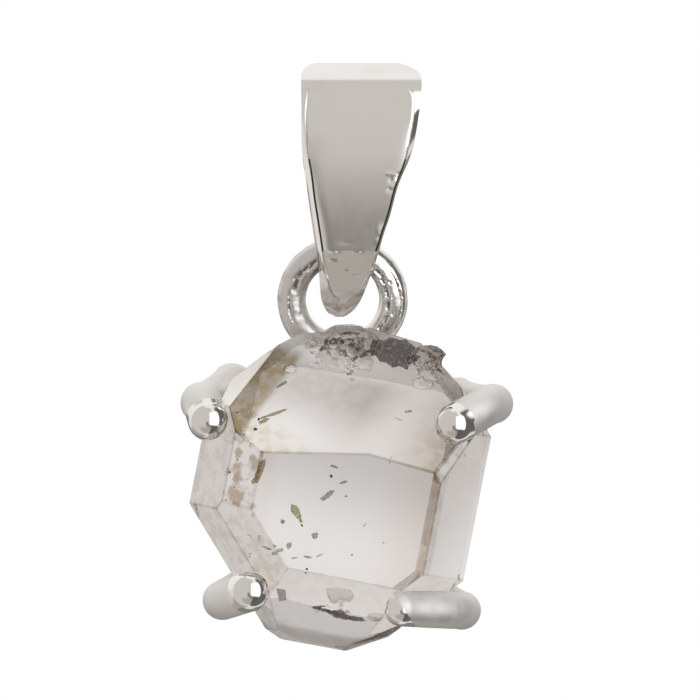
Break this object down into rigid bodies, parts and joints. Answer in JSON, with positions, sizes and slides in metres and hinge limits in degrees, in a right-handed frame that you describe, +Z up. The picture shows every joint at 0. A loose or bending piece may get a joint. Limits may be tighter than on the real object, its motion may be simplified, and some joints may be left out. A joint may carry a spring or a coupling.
{
  "type": "herkimer diamond pendant",
  "caption": "Doubly terminated clear quartz crystal held by wire claws on an open back frame, with a round hanging loop and a tapered bail that swings on it.",
  "frame": {"origin": "the chain seat: the middle of the bail's inside top surface, where the chain carries the pendant", "axes": "+Z up, the longest way of the pendant; the crystal's large front face looks along -Y; +X is to the viewer's right"},
  "size_m": [0.0133, 0.0078, 0.0236],
  "materials": {
    "clear_quartz": "polished",
    "polished_silver": "polished"
  },
  "bodies": {
    "bail": {"bail": "polished_silver"},
    "setting": {"crystal": "clear_quartz", "back_frame": "polished_silver", "hanging_loop": "polished_silver", "claw_top_left": "polished_silver", "claw_top_right": "polished_silver", "claw_bottom_left": "polished_silver", "claw_bottom_right": "polished_silver"}
  },
  "joints": [
    {"name": "loop_swing", "type": "hinge", "parent": "bail", "child": "setting", "pos_m": [-0.00075, 0, -0.00692], "axis": [1, 0, 0], "range_deg": [-60, 33]}
  ]
}
